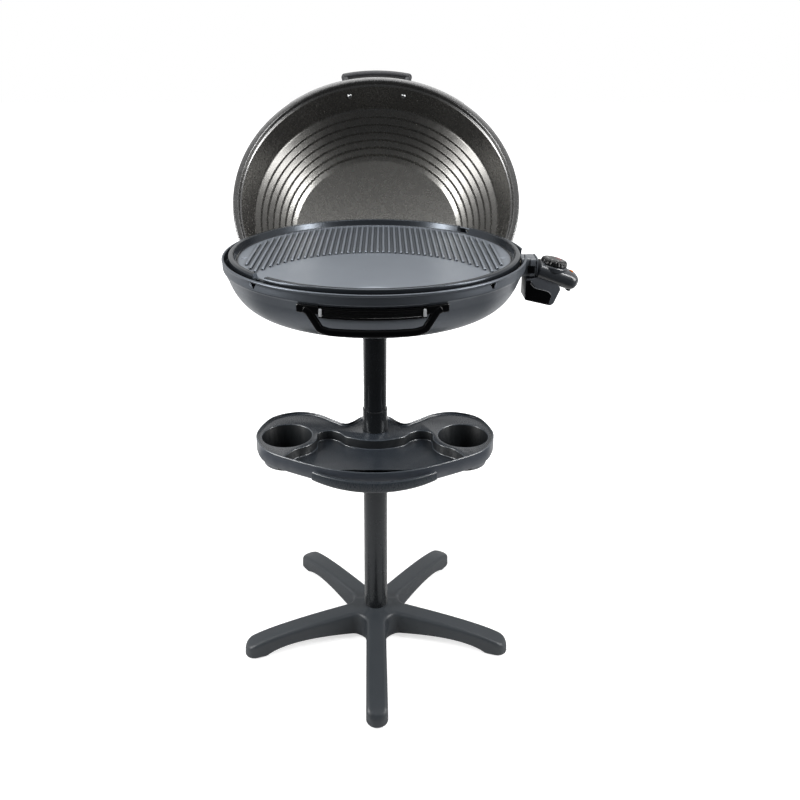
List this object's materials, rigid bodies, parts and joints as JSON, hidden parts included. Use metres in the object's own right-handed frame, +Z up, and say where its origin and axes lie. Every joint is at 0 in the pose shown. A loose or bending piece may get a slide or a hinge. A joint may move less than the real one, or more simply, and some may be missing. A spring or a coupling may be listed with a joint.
{
  "type": "electric_grill_on_pedestal",
  "caption": "Round electric grill with a hinged lid on a pedestal: star base, column, shelf tray with cup holders, ribbed hot plate in a bowl, drip drawer and plug-in dial controller",
  "frame": {"origin": "on the floor, on the axis of the column", "axes": "+Z up along the column; -Y is the front, where the handle and the drip tray are; +X is the controller's side"},
  "size_m": [0.6253, 0.7923, 1.0302],
  "materials": {
    "moulded_base": "dark blue-grey moulded polypropylene with a fine grain",
    "rubber_feet": "black rubber",
    "zinc_steel": "zinc plated steel",
    "painted_tube": "dark grey satin powder coat on steel tube",
    "moulded_tray": "dark blue-grey moulded polypropylene",
    "painted_bowl": "blue-grey enamel paint on pressed steel",
    "black_plastic": "black heat-proof phenolic plastic",
    "gloss_black": "black plastic with a soft gloss",
    "bright_sheet": "mill-finished aluminium sheet",
    "cast_plate": "cast aluminium with a grey non-stick coat",
    "element_steel": "dark sheathed heating rod",
    "ceramic_block": "cream steatite and phenolic insulator",
    "spun_lid": "spun aluminium, bare inside, dark paint outside",
    "drip_pan": "pressed aluminium",
    "brass_contact": "tinned brass",
    "amber_lens": "amber translucent plastic"
  },
  "bodies": {
    "stand": {"star_base": "moulded_base", "foot_pads": "rubber_feet", "base_washer": "zinc_steel", "base_bolt": "zinc_steel", "tube_plug": "zinc_steel", "lower_tube": "painted_tube", "upper_tube": "painted_tube", "tube_screw": "zinc_steel", "shelf_tray": "moulded_tray", "towel_rail": "moulded_tray", "tray_collar": "black_plastic", "tray_screws": "zinc_steel"},
    "grill_head": {"column_socket": "painted_tube", "socket_screws": "zinc_steel", "bowl": "painted_bowl", "heat_reflector": "bright_sheet", "reflector_posts": "zinc_steel", "reflector_screws": "zinc_steel", "drip_runners": "zinc_steel", "plate_rests": "painted_bowl", "front_handle": "black_plastic", "handle_screws": "zinc_steel", "hinge_brackets": "painted_tube", "hinge_pins": "zinc_steel"},
    "drip_drawer": {"drip_tray": "drip_pan", "drip_tray_front": "black_plastic"},
    "hot_plate": {"grill_plate": "cast_plate", "heating_element": "element_steel", "element_clips": "zinc_steel", "clip_screws": "zinc_steel", "terminal_block": "ceramic_block"},
    "lid": {"lid_shell": "spun_lid", "lid_arms": "painted_tube", "lid_arm_screws": "zinc_steel", "lid_handle": "black_plastic", "lid_handle_screws": "zinc_steel"},
    "controller": {"controller_neck": "black_plastic", "controller_upper_shell": "gloss_black", "controller_lower_shell": "gloss_black", "shell_screws": "zinc_steel", "connector_sockets": "brass_contact", "probe_rod": "zinc_steel", "thermostat": "ceramic_block", "cord_gland": "rubber_feet", "lamp_lens": "amber_lens"},
    "dial": {"knob_spindle": "zinc_steel", "knob": "gloss_black"}
  },
  "joints": [
    {"name": "head_lift", "type": "slide", "parent": "stand", "child": "grill_head", "axis": [0, 0, 1], "range_m": [0, 0.08]},
    {"name": "drip_tray_slide", "type": "slide", "parent": "grill_head", "child": "drip_drawer", "axis": [0, -1, 0], "range_m": [0, 0.2]},
    {"name": "plate_lift", "type": "slide", "parent": "grill_head", "child": "hot_plate", "axis": [0, 0, 1], "range_m": [0, 0.05]},
    {"name": "lid_hinge", "type": "hinge", "parent": "grill_head", "child": "lid", "pos_m": [0, 0.16001, 0.707], "axis": [-1, 0, 0], "range_deg": [-130, 0]},
    {"name": "controller_unplug", "type": "slide", "parent": "hot_plate", "child": "controller", "axis": [1, 0, 0], "range_m": [0, 0.045]},
    {"name": "dial_turn", "type": "hinge", "parent": "controller", "child": "dial", "pos_m": [0.29773, 0, 0.73767], "axis": [0.2079, 0, 0.9781], "range_deg": [0, 270]}
  ]
}
